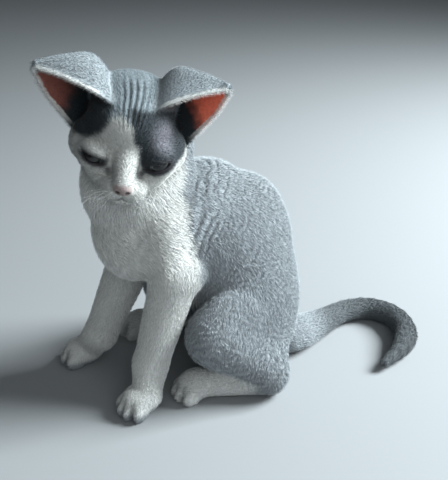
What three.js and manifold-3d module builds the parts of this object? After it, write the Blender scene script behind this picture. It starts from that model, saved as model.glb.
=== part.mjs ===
// A devon rex kitten that sits with its head bowed, as a life-size museum model.
// Millimetres, +Z up, the floor at z = 0. The kitten faces -Y, and its left side is +X.

import * as THREE from "three";
import { mergeVertices } from "three/addons/utils/BufferGeometryUtils.js";
import Module from "manifold-3d";

const wasm = await Module();
wasm.setup();

// Driving dimensions
const HEAD_WIDTH = 66; // across the cheekbones
const EYE_RADIUS = 8.2;
const LID = 1; // thickness of an eyelid over the eyeball
const EAR_WALL = 1.5;
const PAW_WIDTH = 25;
const PAW_LENGTH = 28;
const TAIL_ROOT = 14; // radius
const TAIL_MIDDLE = 8.3; // radius
const FOLD_SPACING = 5; // of the upright folds on the forehead
const FOLD_DEPTH = 0.6;
const WAVE_HEIGHT = 0.8; // of the ripples in the coat
const RINGS_PER_WAVE = 4;
const GAP = 0.3; // between two nodes that meet

const SIDES = { left: 1, right: -1 }; // the sign of x on each side
const TURN = 2 * Math.PI;
const point = (x, y, z) => new THREE.Vector3(x, y, z);
const smooth = (points) => new THREE.CatmullRomCurve3(points.map((p) => point(...p)));
const both = (make) => [make(1), make(-1)];

function placed(centre, degrees) {
  const [x, y, z] = degrees.map(THREE.MathUtils.degToRad);
  return new THREE.Matrix4().makeRotationFromEuler(new THREE.Euler(x, y, z, "ZYX")).setPosition(...centre);
}

// Masses
// A mass is a lump of bone, muscle and coat. It is a function from a place to the distance
// outside the lump, and it is negative inside.

// An egg-shaped lump with three radii, turned about its centre.
function lump(centre, radii, degrees = [0, 0, 0]) {
  const m = placed(centre, degrees).invert().elements;
  const [rx, ry, rz] = radii;
  return (x, y, z) => {
    const a = (m[0] * x + m[4] * y + m[8] * z + m[12]) / rx;
    const b = (m[1] * x + m[5] * y + m[9] * z + m[13]) / ry;
    const c = (m[2] * x + m[6] * y + m[10] * z + m[14]) / rz;
    const reach = Math.hypot(a, b, c);
    return (reach * (reach - 1)) / Math.max(Math.hypot(a / rx, b / ry, c / rz), 1e-6);
  };
}

// A tapered rod with round ends, from a to b.
function rod(a, b, radiusA, radiusB) {
  const along = [b[0] - a[0], b[1] - a[1], b[2] - a[2]];
  const length = Math.hypot(...along);
  const slope = (radiusA - radiusB) / length;
  const rise = Math.sqrt(1 - slope * slope);
  return (x, y, z) => {
    const px = x - a[0];
    const py = y - a[1];
    const pz = z - a[2];
    const t = (px * along[0] + py * along[1] + pz * along[2]) / length;
    const off = Math.sqrt(Math.max(px * px + py * py + pz * pz - t * t, 0));
    const s = t * rise - off * slope; // place along the cone's own wall
    if (s < 0) return Math.hypot(t, off) - radiusA;
    if (s > length * rise) return Math.hypot(t - length, off) - radiusB;
    return off * rise + t * slope - radiusA;
  };
}

// Masses that flow into one another. A larger softness rounds the hollows between them more.
function flesh(masses, softness) {
  return (x, y, z) => {
    let sum = 0;
    for (const mass of masses) sum += Math.exp(-mass(x, y, z) / softness);
    return -softness * Math.log(sum);
  };
}

// The same field after it is moved by a matrix.
function moved(field, matrix) {
  const m = matrix.clone().invert().elements;
  return (x, y, z) =>
    field(
      m[0] * x + m[4] * y + m[8] * z + m[12],
      m[1] * x + m[5] * y + m[9] * z + m[13],
      m[2] * x + m[6] * y + m[10] * z + m[14],
    );
}

// Skins
// The surface of a field is found along rays that leave a path: a fan of rays at each end of
// the path, and rings of rays between the ends. `up` is where the first ray of each ring points,
// `level` is how far outside the field's own surface the skin lies, and `ripple` is how far the
// coat stands out there, from the number of the ring and the place of the point. Where the rays
// lean, they turn evenly from sideways at the start of the path to straight ahead at its end.
// `gather`, from 0 to 1, draws the rays of each ring together near `up`, and `crowd` draws the
// rings together near the middle of the path. An end with no cap is flat, and the skin may
// follow only a stretch of the path.
function skin(field, path, options) {
  const { rings, around, caps, up, level = 0, leaning = false, gather = 0, crowd = 0 } = options;
  const { ripple = () => 0, stretch = [0, 1] } = options;
  const [startCap, endCap] = caps;
  const quarter = Math.PI / 2;
  const stations = startCap === 0 ? [[0, 0]] : [];
  for (let i = startCap; i > 0; i--) stations.push([0, (-i / startCap) * quarter]);
  for (let i = 0; i <= rings; i++) {
    const t = i / rings;
    stations.push([t + (crowd * Math.sin(t * TURN)) / TURN, leaning ? t * quarter : 0]);
  }
  for (let i = 1; i <= endCap; i++) stations.push([1, (i / endCap) * quarter]);
  if (endCap === 0 && !leaning) stations.push([1, 0]);
  const positions = [];
  stations.forEach(([t, lean], row) => {
    const place = THREE.MathUtils.lerp(...stretch, t);
    const from = path.getPointAt(place);
    const ahead = path.getTangentAt(place);
    const first = up.clone().addScaledVector(ahead, -up.dot(ahead)).normalize();
    const second = ahead.clone().cross(first);
    const isEnd = row === 0 || row === stations.length - 1;
    if (isEnd && lean === 0) {
      positions.push(...from);
      return;
    }
    for (let j = 0; j < (isEnd ? 1 : around); j++) {
      const turned = (j / around) * TURN;
      const angle = turned - gather * Math.sin(turned);
      const ray = first.clone().multiplyScalar(Math.cos(angle) * Math.cos(lean));
      ray.addScaledVector(second, Math.sin(angle) * Math.cos(lean));
      ray.addScaledVector(ahead, Math.sin(lean));
      const surface = from.clone().addScaledVector(ray, distanceOut(field, from, ray, level));
      positions.push(...surface.addScaledVector(ray, ripple(row - startCap, surface)));
    }
  });
  return solidOf(closedGrid(positions, stations.length, around));
}

// How far a ray goes before the field rises to the level.
function distanceOut(field, from, ray, level) {
  const longest = 120;
  const rise = (d) => field(from.x + ray.x * d, from.y + ray.y * d, from.z + ray.z * d) - level;
  let near = 0;
  let far = 0;
  for (let value = rise(0); value < 0 && far < longest; value = rise(far)) {
    near = far;
    far += Math.max(-value * 0.7, 0.25);
  }
  for (let i = 0; i < 14; i++) {
    const middle = (near + far) / 2;
    if (rise(middle) < 0) near = middle;
    else far = middle;
  }
  return (near + far) / 2;
}

// Rows of points around a path, with one point at each end, as a closed mesh that faces out.
function closedGrid(positions, rows, around) {
  const last = positions.length / 3 - 1;
  const at = (row, j) => 1 + (row - 1) * around + (j % around);
  const faces = [];
  for (let j = 0; j < around; j++) {
    faces.push(0, at(1, j + 1), at(1, j));
    for (let row = 1; row < rows - 2; row++) {
      faces.push(at(row, j), at(row, j + 1), at(row + 1, j));
      faces.push(at(row, j + 1), at(row + 1, j + 1), at(row + 1, j));
    }
    faces.push(last, at(rows - 2, j), at(rows - 2, j + 1));
  }
  const geometry = new THREE.BufferGeometry();
  geometry.setAttribute("position", new THREE.Float32BufferAttribute(positions, 3));
  geometry.setIndex(faces);
  return geometry;
}

// Solids

function solidOf(geometry) {
  const bare = geometry.clone();
  bare.deleteAttribute("normal");
  bare.deleteAttribute("uv");
  const merged = mergeVertices(bare, 1e-4);
  return new wasm.Manifold(
    new wasm.Mesh({
      numProp: 3,
      vertProperties: new Float32Array(merged.attributes.position.array),
      triVerts: new Uint32Array(merged.index.array),
    }),
  );
}

// The largest closed surface of a solid, so that no loose scrap is left by a cut.
function largest(solid) {
  return solid.decompose().reduce((a, b) => (b.volume() > a.volume() ? b : a));
}

function geometryOf(solid) {
  const mesh = solid.getMesh();
  const positions = new Float32Array(mesh.numVert * 3);
  for (let i = 0; i < mesh.numVert; i++) {
    positions.set(mesh.vertProperties.subarray(i * mesh.numProp, i * mesh.numProp + 3), i * 3);
  }
  const geometry = new THREE.BufferGeometry();
  geometry.setAttribute("position", new THREE.BufferAttribute(positions, 3));
  geometry.setIndex(new THREE.BufferAttribute(mesh.triVerts, 1));
  geometry.computeVertexNormals();
  return geometry;
}

// An egg-shaped solid of few faces.
function egg(centre, radii, degrees, matrix = new THREE.Matrix4(), fineness = 12) {
  const geometry = new THREE.SphereGeometry(1, fineness, Math.round(fineness * 0.7));
  geometry.scale(...radii).applyMatrix4(placed(centre, degrees)).applyMatrix4(matrix);
  return solidOf(geometry);
}

// A thin round cord along a curve, closed at both ends. It cuts grooves.
function cord(curve, radius, steps) {
  const round = new THREE.Shape().absarc(0, 0, radius, 0, TURN);
  return solidOf(new THREE.ExtrudeGeometry(round, { extrudePath: curve, steps, curveSegments: 3 }));
}

// Torso
// The trunk leans forward from the haunches to the shoulders. The chest is turned a little to
// the kitten's left, towards which the head looks.

const TRUNK = smooth([
  [2, 26, 30],
  [1, 17, 60],
  [1, -4, 88],
  [2, -30, 102],
  [3, -52, 104],
]);

// Ripples of the coat cross the trunk, upright over the shoulders and slanting over the back.
// They fade towards the chest, the belly and the haunches.
function coatRipple(ring, { x, y, z }) {
  const onBack = THREE.MathUtils.smoothstep(0.8 * y + 0.6 * z, 22, 44);
  const aboveHaunch = THREE.MathUtils.smoothstep(z - 0.3 * y, 30, 70);
  const wander = 0.5 * Math.sin(x / 9 + z / 13);
  return WAVE_HEIGHT * onBack * aboveHaunch * Math.sin((ring / RINGS_PER_WAVE) * TURN + wander);
}

const trunkField = flesh(
  [
    lump([2, 21, 31], [41, 32, 32]),
    lump([2, 21, 50], [37, 35, 30]),
    lump([2, 15, 66], [35, 39, 36], [20, 0, 0]),
    lump([1, 12, 86], [31, 40, 30], [28, 0, 3]),
    lump([1, 3, 99], [29, 44, 35], [30, 0, 6]),
    lump([3, -22, 118], [27, 40, 27], [25, 0, 10]),
    lump([3, -54, 108], [24, 27, 34], [6, 0, 10]),
    ...both((s) => rod([4 + s * 16, -44 + s * 5, 116], [3 + s * 20, -44 + s * 6, 84], 13, 13)),
  ],
  4,
);
const torsoSkin = (level) =>
  skin(trunkField, TRUNK, {
    rings: 38, around: 30, caps: [4, 4], up: point(0, 1, 1), level, crowd: 0.4, ripple: coatRipple,
  });

// Head
// It is built about its own centre, with the nose towards -y, the crown towards +z and the
// kitten's left towards +x, and then set on the neck: bowed, rolled and looking to the left.

const HEAD = placed([11.9, -54.5, 176.3], [15, 10, 75]);
const HALF = HEAD_WIDTH / 2;
const EYE = [17, -23, -6];
const LOOK_DOWN = 4; // degrees

const headShape = flesh(
  [
    lump([0, 8, 3], [HALF - 4.5, 29, 23]),
    lump([0, -10, 6], [HALF - 11, 18, 15.5]),
    ...both((s) => lump([s * (HALF - 12.5), -6, -7], [11.5, 17, 12.5], [0, 0, s * 18])),
    ...both((s) => lump([s * 13, -22, -15.5], [9, 10, 7.5])),
    rod([0, -20, -2], [0, -38, -11.3], 8.5, 5),
    ...both((s) => lump([s * 5.8, -33.5, -19.2], [7.4, 8.4, 6.6])),
    lump([0, -30.5, -25.8], [7.2, 8, 5.2]),
    ...both((s) => rod([s * 17, -2, -16], [s * 5, -27, -22], 9.5, 6)),
    ...both((s) => lump([s * EYE[0], EYE[1], EYE[2]], Array(3).fill(EYE_RADIUS + LID))),
  ],
  2,
);

// Upright folds of skin between the ears, deepest at the middle of the forehead.
function browFold(x, y, z) {
  const high = THREE.MathUtils.smoothstep(z, 8, 17) * THREE.MathUtils.smoothstep(12 - y, 0, 14);
  const middle = Math.exp(-((x / 11) ** 2));
  return FOLD_DEPTH * high * middle * Math.cos((x / FOLD_SPACING) * TURN);
}
const headField = moved((x, y, z) => headShape(x, y, z) + browFold(x, y, z), HEAD);
const atHead = (x, y, z) => point(x, y, z).applyMatrix4(HEAD);
const headSkin = (level) =>
  skin(headField, smooth([atHead(0, 9, 1), atHead(0, -10, -4), atHead(0, -28, -12)].map((p) => p.toArray())), {
    rings: 23, around: 48, caps: [5, 0], level, leaning: true, gather: 0.45,
    up: point(0, 0, 1).transformDirection(HEAD),
  });

// Where the front of the head is, straight ahead of a place on its mid plane.
function onFace(x, z, sink = 0) {
  const from = atHead(x, -22, z);
  const ahead = point(0, -1, 0).transformDirection(HEAD);
  return from.clone().addScaledVector(ahead, distanceOut(headField, from, ahead, 0) - sink);
}

// The line of the mouth curls out from under the nose to each side.
const MOUTH = [[0, -22.2], [3.2, -24], [6.8, -23.8], [10, -22], [12, -20.4]];
const mouthLine = (s) => cord(new THREE.CatmullRomCurve3(MOUTH.map(([x, z]) => onFace(s * x, z))), 0.75, 8);
const philtrum = () => cord(new THREE.CatmullRomCurve3([-17.8, -20, -22.4].map((z) => onFace(0, z))), 0.6, 3);

const nose = () => egg([0, -41.2, -14.2], [5, 4.2, 3.6], [-12, 0, 0], HEAD, 14);
const nostril = (s) => egg([s * 2.9, -44.6, -15], [1.3, 2.4, 0.9], [0, 25 * s, 0], HEAD, 8);

const eyeAt = (s) => [s * EYE[0], EYE[1], EYE[2]];
const eyeOpening = (s) =>
  egg([s * 17, -31, -5.3], [7.6, 10, 2.4], [LOOK_DOWN, s * -18, s * 22], HEAD, 14);

// The hollow of the ear goes down into the head.
const concha = (s) => egg([s * 28, 5, 8], [7, 9, 15], [0, s * 30, 0], HEAD, 12);

function head(grown = 0) {
  let made = headSkin(grown);
  if (grown) return made;
  made = made.add(nose());
  for (const s of Object.values(SIDES)) {
    made = made.subtract(egg(eyeAt(s), Array(3).fill(EYE_RADIUS + GAP), [0, 0, 0], HEAD, 14));
    made = made.subtract(eyeOpening(s)).subtract(nostril(s)).subtract(mouthLine(s)).subtract(concha(s));
  }
  return made.subtract(philtrum());
}

// Ears
// A thin cup, wide at the base, whose rim runs up the front and down the outer side. It is drawn
// between three curves that start at the base and meet at the tip.

const EAR_FRONT = smooth([[9, -12, 16], [20, -11, 23.5], [34, -7, 28], [50, -2, 30.5]]);
const EAR_BACK = smooth([[15, 24, 9], [24, 20, 26.5], [37, 9, 31.5], [51, -1, 32]]);
const EAR_OUTER = smooth([[29, 1, -10], [37, 0, 1.5], [45.5, -1, 15], [51.5, -2, 29.5]]);
const EAR_ROOT = [26, 6, 8];
const EAR_LIFT = { left: 4, right: -5 }; // degrees that each ear is raised on its own

function ear(s) {
  const across = 11;
  const along = 8;
  const [rootX, rootY, rootZ] = EAR_ROOT;
  const lift = THREE.MathUtils.degToRad(EAR_LIFT[s > 0 ? "left" : "right"]);
  const raised = new THREE.Matrix4().makeTranslation(rootX, rootY, rootZ)
    .multiply(new THREE.Matrix4().makeRotationY(-lift))
    .multiply(new THREE.Matrix4().makeTranslation(-rootX, -rootY, -rootZ));
  const layers = [EAR_WALL, 0].map((thickness) => {
    const rows = [];
    for (let j = 0; j <= along; j++) {
      const [front, back, outer] = [EAR_FRONT, EAR_BACK, EAR_OUTER].map((curve) => curve.getPoint(j / along));
      const pull = back.clone().multiplyScalar(2).addScaledVector(front, -0.5).addScaledVector(outer, -0.5);
      const arc = new THREE.QuadraticBezierCurve3(front, pull, outer);
      const heart = front.clone().add(outer).multiplyScalar(0.5);
      for (let i = 0; i <= across; i++) {
        const p = arc.getPoint(i / across);
        const out = p.clone().sub(heart).normalize();
        p.addScaledVector(out, thickness * Math.sin((Math.PI * (i + 1)) / (across + 2)) ** 0.3);
        p.applyMatrix4(raised);
        rows.push(point(s * p.x, p.y, p.z).applyMatrix4(HEAD));
      }
    }
    return rows;
  });
  return solidOf(sheetBetween(layers, across, along, s < 0));
}

// A closed shell between an outer and an inner layer of points.
function sheetBetween(layers, across, along, mirrored) {
  const wide = across + 1;
  const tall = along + 1;
  const at = (layer, i, j) => layer * wide * tall + j * wide + i;
  const faces = [];
  const quad = (a, b, c, d) => (mirrored ? faces.push(c, b, a, d, c, a) : faces.push(a, b, c, a, c, d));
  for (let j = 0; j < along; j++) {
    for (let i = 0; i < across; i++) {
      quad(at(0, i, j), at(0, i, j + 1), at(0, i + 1, j + 1), at(0, i + 1, j));
      quad(at(1, i, j), at(1, i + 1, j), at(1, i + 1, j + 1), at(1, i, j + 1));
    }
    quad(at(0, 0, j), at(1, 0, j), at(1, 0, j + 1), at(0, 0, j + 1));
    quad(at(0, across, j), at(0, across, j + 1), at(1, across, j + 1), at(1, across, j));
  }
  for (let i = 0; i < across; i++) {
    quad(at(0, i, 0), at(0, i + 1, 0), at(1, i + 1, 0), at(1, i, 0));
    quad(at(0, i, along), at(1, i, along), at(1, i + 1, along), at(0, i + 1, along));
  }
  const positions = layers.flat().flatMap((p) => p.toArray());
  const geometry = new THREE.BufferGeometry();
  geometry.setAttribute("position", new THREE.Float32BufferAttribute(positions, 3));
  geometry.setIndex(faces);
  return geometry;
}

// Neck
const neckField = flesh(
  [
    lump([0, -46, 158], [22, 31, 26]),
    lump([4, -49, 134], [25, 35, 32]),
    lump([8, -59, 146], [22, 23, 24]),
  ],
  4,
);
const neckSkin = (level) =>
  skin(neckField, smooth([[0, -48, 164], [4, -51, 146], [4, -50, 128]]), {
    rings: 7, around: 22, caps: [3, 3], up: point(0, 1, 0), level,
  });

// Legs
// Each front leg is a forearm under the elbow and a paw; the upper arm is part of the trunk.

const FORELEGS = {
  left: { elbow: [23, -35, 82], wrist: [28, -54, 26], paw: [38, -63, 9], turn: 22 },
  right: { elbow: [-15, -53, 80], wrist: [-18, -77, 25], paw: [-27, -88, 9], turn: -4 },
};
function forelegField({ elbow, wrist }) {
  return flesh([rod(elbow, wrist, 15.5, 11.3), lump([elbow[0], elbow[1] + 4, elbow[2] + 2], [14, 17, 14])], 2);
}
const forelegSkin = (leg, level) =>
  skin(forelegField(leg), smooth([leg.elbow, leg.wrist]), {
    rings: 7, around: 16, caps: [3, 3], up: point(0, -1, 0.3), level,
  });

// A paw is a low pad with four toes in an arc in front of it.
function paw(centre, turn, length) {
  const [x, y, z] = centre;
  const place = placed([x, y, 0], [0, 0, turn]);
  let made = egg([0, 0, z], [PAW_WIDTH * 0.46, length / 2, z + 0.6], [0, 0, 0], place, 12);
  [-1.5, -0.5, 0.5, 1.5].forEach((slot) => {
    const forward = -length * 0.36 + Math.abs(slot) ** 1.6 * 2.2;
    const toe = [slot * PAW_WIDTH * 0.215, forward, z * 0.62];
    made = made.add(egg(toe, [3.9, 7.8, 6.2], [18, 0, slot * 9], place, 8));
  });
  return made;
}
function forepaw({ wrist, paw: centre, turn }) {
  const pastern = rod(wrist, [centre[0], centre[1] + 3, centre[2] + 2], 11, 9.5);
  return paw(centre, turn, PAW_LENGTH).add(skin(pastern, smooth([wrist, centre]), {
    rings: 3, around: 14, caps: [2, 2], up: point(0, -1, 0.3),
  }));
}

const HINDLEGS = {
  left: { hip: [22, 25, 44], knee: [38, -16, 43], hock: [49, 18.5, 11], toes: [36, -26, 9], turn: 4 },
  right: { hip: [-22, 24, 44], knee: [-40, -24, 43], hock: [-44, 16, 12], toes: [-48, -42, 9], turn: -4 },
};
function thighField({ hip, knee, hock }) {
  const middle = hip.map((h, i) => (h + knee[i]) / 2);
  const outward = THREE.MathUtils.radToDeg(Math.atan2(knee[0] - hip[0], hip[1] - knee[1]));
  const shank = [hock[0], hock[1], hock[2] + 5];
  return flesh(
    [
      lump(middle, [18, 34, 31], [0, 0, outward]),
      rod(knee, shank, 17, 11),
      rod([hip[0] * 1.15, hip[1] + 2, 34], shank, 15, 11),
    ],
    4,
  );
}
const thighSkin = (leg, level) =>
  skin(thighField(leg), smooth([leg.hip, leg.knee]), {
    rings: 9, around: 22, caps: [4, 4], up: point(0, 0, 1), level,
  });
const hindFoot = ({ hock, toes, turn }) =>
  paw(toes, turn, PAW_LENGTH).add(skin(rod(hock, toes, 10.5, 9), smooth([hock, toes]), {
    rings: 5, around: 14, caps: [2, 2], up: point(0, 0, 1),
  }));

// Tail
// It lies on the floor in a hook that opens forward, in four lengths.

const TAIL = smooth([
  [8, 36, 20], [10, 54, 13.7], [0, 79, 10.4], [-11, 105, 8.4], [-9, 126, 7.9],
  [7, 138, 7.8], [28, 135, 7.7], [44, 121.5, 7.4], [54, 103, 6],
]);
const TAIL_LENGTHS = ["tail_base", "tail_middle", "tail_bend", "tail_tip"];
function tailWidth(t) {
  const root = THREE.MathUtils.lerp(TAIL_ROOT, TAIL_MIDDLE, THREE.MathUtils.smoothstep(t, 0, 0.4));
  return root - 4.5 * THREE.MathUtils.smoothstep(t, 0.8, 1);
}
function tailField() {
  const steps = 36;
  const masses = [];
  for (let i = 0; i < steps; i++) {
    const [a, b] = [i / steps, (i + 1) / steps];
    masses.push(rod(TAIL.getPointAt(a).toArray(), TAIL.getPointAt(b).toArray(), tailWidth(a), tailWidth(b)));
  }
  return flesh(masses, 0.8);
}
function tailLengths() {
  const field = tailField();
  const count = TAIL_LENGTHS.length;
  const halfGap = GAP / 2 / TAIL.getLength();
  return TAIL_LENGTHS.map((name, i) => {
    const stretch = [i / count + halfGap, (i + 1) / count - halfGap];
    if (i === count - 1) stretch[1] = 1;
    const caps = [0, i === count - 1 ? 3 : 0];
    return [name, skin(field, TAIL, { rings: 7, around: 11, caps, up: point(0, 0, 1), stretch })];
  });
}

// Assembly
const solids = new Map();
const torsoGrown = torsoSkin(GAP);
const headGrown = head(GAP);
const neckGrown = neckSkin(GAP);
solids.set("torso", torsoSkin(0));
solids.set("head", head());
solids.set("neck", neckSkin(0).subtract(torsoGrown).subtract(headGrown));
for (const [name, s] of Object.entries(SIDES)) {
  solids.set("ear_" + name, ear(s).subtract(headGrown).subtract(neckGrown));
  solids.set("eye_" + name, egg(eyeAt(s), Array(3).fill(EYE_RADIUS), [0, 0, 0], HEAD, 14));
  const foreleg = FORELEGS[name];
  solids.set("foreleg_" + name, forelegSkin(foreleg, 0).subtract(torsoGrown).subtract(neckGrown));
  solids.set("forepaw_" + name, forepaw(foreleg).subtract(forelegSkin(foreleg, GAP)));
  const hindleg = HINDLEGS[name];
  const thigh = thighSkin(hindleg, 0).subtract(torsoGrown).subtract(forelegSkin(foreleg, GAP));
  solids.set("thigh_" + name, thigh);
  solids.set("hind_foot_" + name, hindFoot(hindleg).subtract(thighSkin(hindleg, GAP)).subtract(torsoGrown));
}
for (const [name, length] of tailLengths()) {
  solids.set(name, length.subtract(torsoGrown).subtract(thighSkin(HINDLEGS.left, GAP)));
}

// The floor as a thick slab. It flattens whatever rests on it.
const floorSlab = solidOf(new THREE.BoxGeometry(600, 600, 40).translate(0, 0, -20));

// The coat's colours
const BLUE_GREY = { color: 0x8f989e, roughness: 0.9 };
const DARK_GREY = { color: 0x555c61, roughness: 0.9 };
const WHITE = { color: 0xe3e5e2, roughness: 0.9 };
const EYE_GLOSS = { color: 0x22302c, roughness: 0.1 };
const FINISHES = {
  torso: BLUE_GREY, head: BLUE_GREY, neck: WHITE, ear: BLUE_GREY, eye: EYE_GLOSS,
  foreleg: WHITE, forepaw: WHITE, thigh: BLUE_GREY, hind: WHITE, tail: DARK_GREY,
};

const kitten = new THREE.Group();
for (const [name, solid] of solids) {
  const mesh = new THREE.Mesh(
    geometryOf(largest(solid.subtract(floorSlab))),
    new THREE.MeshStandardMaterial({ ...FINISHES[name.split("_")[0]], metalness: 0 }),
  );
  mesh.name = name;
  kitten.add(mesh);
}

// The origin is on the floor, under the middle of the kitten's box.
const middle = new THREE.Box3().setFromObject(kitten).getCenter(point(0, 0, 0));
kitten.position.set(-middle.x, -middle.y, 0);

export default kitten;
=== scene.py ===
import bpy
import numpy as np
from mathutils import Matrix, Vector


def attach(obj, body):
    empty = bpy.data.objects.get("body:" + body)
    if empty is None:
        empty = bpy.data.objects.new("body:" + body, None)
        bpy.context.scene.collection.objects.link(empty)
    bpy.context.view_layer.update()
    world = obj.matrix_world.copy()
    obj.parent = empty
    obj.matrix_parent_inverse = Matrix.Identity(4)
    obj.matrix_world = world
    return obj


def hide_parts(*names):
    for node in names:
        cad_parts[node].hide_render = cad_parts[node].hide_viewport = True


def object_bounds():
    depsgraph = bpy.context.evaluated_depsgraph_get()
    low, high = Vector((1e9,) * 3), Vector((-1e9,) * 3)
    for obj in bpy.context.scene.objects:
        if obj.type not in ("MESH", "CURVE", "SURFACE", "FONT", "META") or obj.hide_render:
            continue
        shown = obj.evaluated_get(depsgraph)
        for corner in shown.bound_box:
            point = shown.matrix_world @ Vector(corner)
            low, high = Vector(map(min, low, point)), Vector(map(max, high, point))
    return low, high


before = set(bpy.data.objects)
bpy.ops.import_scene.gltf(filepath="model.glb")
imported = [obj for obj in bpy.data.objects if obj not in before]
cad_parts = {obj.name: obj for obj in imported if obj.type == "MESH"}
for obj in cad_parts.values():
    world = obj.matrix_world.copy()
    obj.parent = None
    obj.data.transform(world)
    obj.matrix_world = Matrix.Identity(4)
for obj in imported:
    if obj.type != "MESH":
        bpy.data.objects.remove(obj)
cad_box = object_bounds()

# Flesh
# Bone, muscle and gristle are lumps and tapered rods that flow into one another. Each is a field,
# the distance outside it, in millimetres. The kitten faces -y, and its left side is +x.
MM = 0.001
SIDES = {"left": 1, "right": -1}
EYE = np.array([17, -23, -6])  # the left eyeball, from the middle of the head
EYE_RADIUS = 8.2
HEAD_AT = np.array([11.9, -54.5, 176.3])
HEAD_TURN = (15, 10, 75)  # degrees: bowed, rolled, and looking to the kitten's left


def smoothstep(value, low, high):
    """0 below low, 1 above high, and 3t squared less 2t cubed between."""
    t = np.clip((value - low) / (high - low), 0, 1)
    return t * t * (3 - 2 * t)


def mixed(a, b, share):
    """a where share is 0 and b where it is 1, row by row."""
    return a + (b - a) * np.asarray(share)[:, None]


def unit(ways):
    """Rows scaled to length 1."""
    return ways / np.maximum(np.linalg.norm(ways, axis=-1, keepdims=True), 1e-9)


def turned(degrees):
    """The rotation about x, then y, then z."""
    (cx, cy, cz), (sx, sy, sz) = np.cos(np.radians(degrees)), np.sin(np.radians(degrees))
    about_x = np.array([[1, 0, 0], [0, cx, -sx], [0, sx, cx]])
    about_y = np.array([[cy, 0, sy], [0, 1, 0], [-sy, 0, cy]])
    about_z = np.array([[cz, -sz, 0], [sz, cz, 0], [0, 0, 1]])
    return about_z @ about_y @ about_x


def corners(node):
    """A CAD node's vertices, in metres."""
    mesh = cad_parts[node].data
    flat = np.empty(len(mesh.vertices) * 3)
    mesh.vertices.foreach_get("co", flat)
    return flat.reshape(-1, 3)


HEAD_AXES = turned(HEAD_TURN)
SHIFT = corners("eye_left").mean(0) / MM - (HEAD_AT + HEAD_AXES @ EYE)


def to_head(places):
    """Body places seen from the head: nose towards -y, crown towards +z."""
    return (places - HEAD_AT) @ HEAD_AXES


def from_head(places):
    """Head places set on the body."""
    return np.asarray(places, float) @ HEAD_AXES.T + HEAD_AT


def lump(centre, radii, degrees=(0, 0, 0), axes=None):
    """Outside an egg: with q the place over the radii, |q|(|q| - 1) over |q over the radii|."""
    axes = turned(degrees) if axes is None else axes
    radii = np.array(radii, float)

    def distance(places):
        q = (places - np.array(centre)) @ axes / radii
        reach = np.sqrt((q * q).sum(1))
        q /= radii
        return reach * (reach - 1) / np.maximum(np.sqrt((q * q).sum(1)), 1e-6)

    return distance


def rod(a, b, radius_a, radius_b):
    """Outside a tapered rod with round ends, from a to b."""
    a, along = np.array(a, float), np.subtract(b, a, dtype=float)
    length = np.linalg.norm(along)
    slope = (radius_a - radius_b) / length
    rise = np.sqrt(1 - slope * slope)

    def distance(places):
        p = places - a
        t = p @ along / length
        off = np.sqrt(np.maximum((p * p).sum(1) - t * t, 0))
        s = t * rise - off * slope
        wall = off * rise + t * slope - radius_a
        start, end = np.hypot(t, off) - radius_a, np.hypot(t - length, off) - radius_b
        return np.where(s < 0, start, np.where(s > length * rise, end, wall))

    return distance


def flesh(masses, softness):
    """Soft union: minus softness times the log of the sum of exp(-distance / softness)."""

    def distance(places):
        total = masses[0](places) / -softness
        for mass in masses[1:]:
            total = np.logaddexp(total, mass(places) / -softness)
        return -softness * total

    return distance


def both(make):
    """The left and the right one."""
    return [make(s) for s in SIDES.values()]


def curve(points, t):
    """Catmull-Rom curve through the points, at t from 0 to 1, even by point."""
    p = np.array(points, float)
    p = np.vstack([2 * p[0] - p[1], p, 2 * p[-1] - p[-2]])
    place = np.clip(t, 0, 1) * (len(points) - 1)
    i = np.minimum(place.astype(int), len(points) - 2)
    w = (place - i)[:, None]
    before, start, end, after = (p[i + k] for k in range(4))
    rise, fall = (end - before) / 2, (after - start) / 2
    bend = 3 * (end - start) - 2 * rise - fall
    return start + rise * w + bend * w**2 + (rise + fall - 2 * (end - start)) * w**3


def evenly(points, count):
    """Count places spread evenly along the curve through the points."""
    fine = curve(points, np.linspace(0, 1, 400))
    run = np.concatenate([[0], np.cumsum(np.linalg.norm(np.diff(fine, axis=0), axis=1))])
    stops = np.linspace(0, run[-1], count)
    return np.column_stack([np.interp(stops, run, fine[:, k]) for k in range(3)])


trunk = flesh(
    [
        lump([2, 21, 31], [41, 32, 32]),
        lump([2, 21, 50], [37, 35, 30]),
        lump([2, 15, 66], [35, 39, 36], [20, 0, 0]),
        lump([1, 12, 86], [31, 40, 30], [28, 0, 3]),
        lump([1, 3, 99], [29, 44, 35], [30, 0, 6]),
        lump([3, -22, 118], [27, 40, 27], [25, 0, 10]),
        lump([3, -54, 108], [24, 27, 34], [6, 0, 10]),
        rod([20, -39, 116], [23, -38, 84], 13, 13),
        rod([-12, -49, 116], [-17, -50, 84], 13, 13),
    ],
    4,
)
neck = flesh(
    [
        lump([0, -46, 158], [22, 31, 26]),
        lump([4, -49, 134], [25, 35, 32]),
        lump([8, -59, 146], [22, 23, 24]),
    ],
    4,
)

FORELEGS = {
    "left": {"elbow": [23, -35, 82], "wrist": [28, -54, 26], "paw": [38, -63, 9], "turn": 22},
    "right": {"elbow": [-15, -53, 80], "wrist": [-18, -77, 25], "paw": [-27, -88, 9], "turn": -4},
}
HINDLEGS = {
    "left": {
        "hip": [22, 25, 44], "knee": [38, -16, 43], "hock": [49, 18.5, 11],
        "paw": [36, -26, 9], "turn": 4,
    },
    "right": {
        "hip": [-22, 24, 44], "knee": [-40, -24, 43], "hock": [-44, 16, 12],
        "paw": [-48, -42, 9], "turn": -4,
    },
}
PAW_WIDTH = 25
PAW_LENGTH = 28
TOE_SPACING = PAW_WIDTH * 0.215
TOE_RADII = [3.9, 7.8, 6.2]
TOE_FAN = 9  # degrees between one toe and the next
TOE_RISE = 18  # degrees that a toe slopes up to the paw
PAW_SOFTNESS = 0.6


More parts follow.
